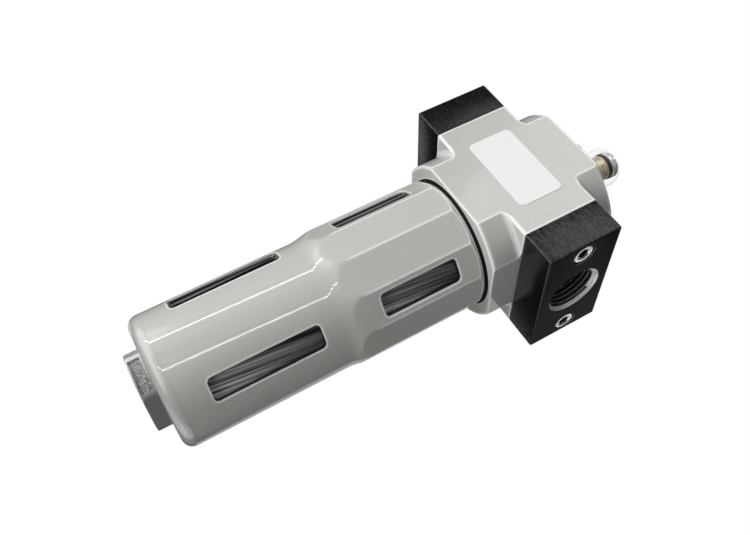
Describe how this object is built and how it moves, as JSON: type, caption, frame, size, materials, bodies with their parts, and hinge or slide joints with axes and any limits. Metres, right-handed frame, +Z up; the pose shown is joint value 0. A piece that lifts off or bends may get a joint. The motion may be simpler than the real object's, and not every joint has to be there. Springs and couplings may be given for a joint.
{
  "type": "air line lubricator",
  "caption": "Cast air line lubricator with threaded side ports, a clear sight dome on top and a clear oil bowl inside a windowed metal guard.",
  "frame": {"origin": "where the ports' axis crosses the bowl's axis, in the middle of the air line", "axes": "+Z up along the bowl's axis towards the sight dome, +X along the air flow from the inlet port to the outlet port, -Y towards the label"},
  "size_m": [0.085, 0.0552, 0.2057],
  "materials": {
    "cast_grey": "satin light grey paint on a fine casting",
    "cast_black": "satin black paint on a rough casting",
    "seal_black": "smooth rubber",
    "steel": "bright zinc",
    "nickel": "bright nickel plate",
    "label_white": "blank white film",
    "brass": "turned, satin",
    "bronze": "sintered, rough",
    "fibre": "matt fibre",
    "milky_plastic": "milky",
    "clear_plastic": "polished and clear",
    "smoky_plastic": "polished, smoky clear"
  },
  "bodies": {
    "housing": {"housing": "cast_grey", "inlet_plate": "cast_black", "outlet_plate": "cast_black", "inlet_seal": "seal_black", "outlet_seal": "seal_black", "plate_screws": "steel", "front_label": "label_white", "venturi_insert": "brass", "flap_pin": "steel", "siphon_head": "brass", "siphon_tube": "milky_plastic", "pickup_strainer": "bronze", "sight_dome": "clear_plastic", "dome_seal": "seal_black", "drip_bushing": "brass", "riser_tube": "brass"},
    "bowl": {"oil_bowl": "smoky_plastic", "bowl_seal": "seal_black"},
    "guard": {"bowl_guard": "cast_grey"},
    "regulator": {"regulating_screw": "nickel", "regulator_seal": "seal_black"},
    "filler": {"filler_plug": "nickel", "filler_seal": "fibre"},
    "flap": {"bypass_flap": "steel"},
    "ball": {"check_ball": "steel"}
  },
  "joints": [
    {"name": "bowl_drop", "type": "slide", "parent": "housing", "child": "bowl", "axis": [0, 0, -1], "range_m": [0, 0.135]},
    {"name": "guard_turn", "type": "hinge", "parent": "bowl", "child": "guard", "pos_m": [0, 0, -0.0265], "axis": [0, 0, 1], "continuous": true},
    {"name": "regulator_turn", "type": "hinge", "parent": "housing", "child": "regulator", "pos_m": [0, 0, 0.05], "axis": [0, 0, 1], "range_deg": [0, 720]},
    {"name": "filler_lift", "type": "slide", "parent": "housing", "child": "filler", "axis": [0, 0, 1], "range_m": [0, 0.03]},
    {"name": "flap_swing", "type": "hinge", "parent": "housing", "child": "flap", "pos_m": [0.0051, 0, 0.0009], "axis": [0, -1, 0], "range_deg": [0, 60], "stiffness_Nm_per_rad": 0.0001, "springref_deg": -28.65},
    {"name": "ball_lift", "type": "slide", "parent": "housing", "child": "ball", "axis": [0, 0, 1], "range_m": [0, 0.0005]}
  ]
}
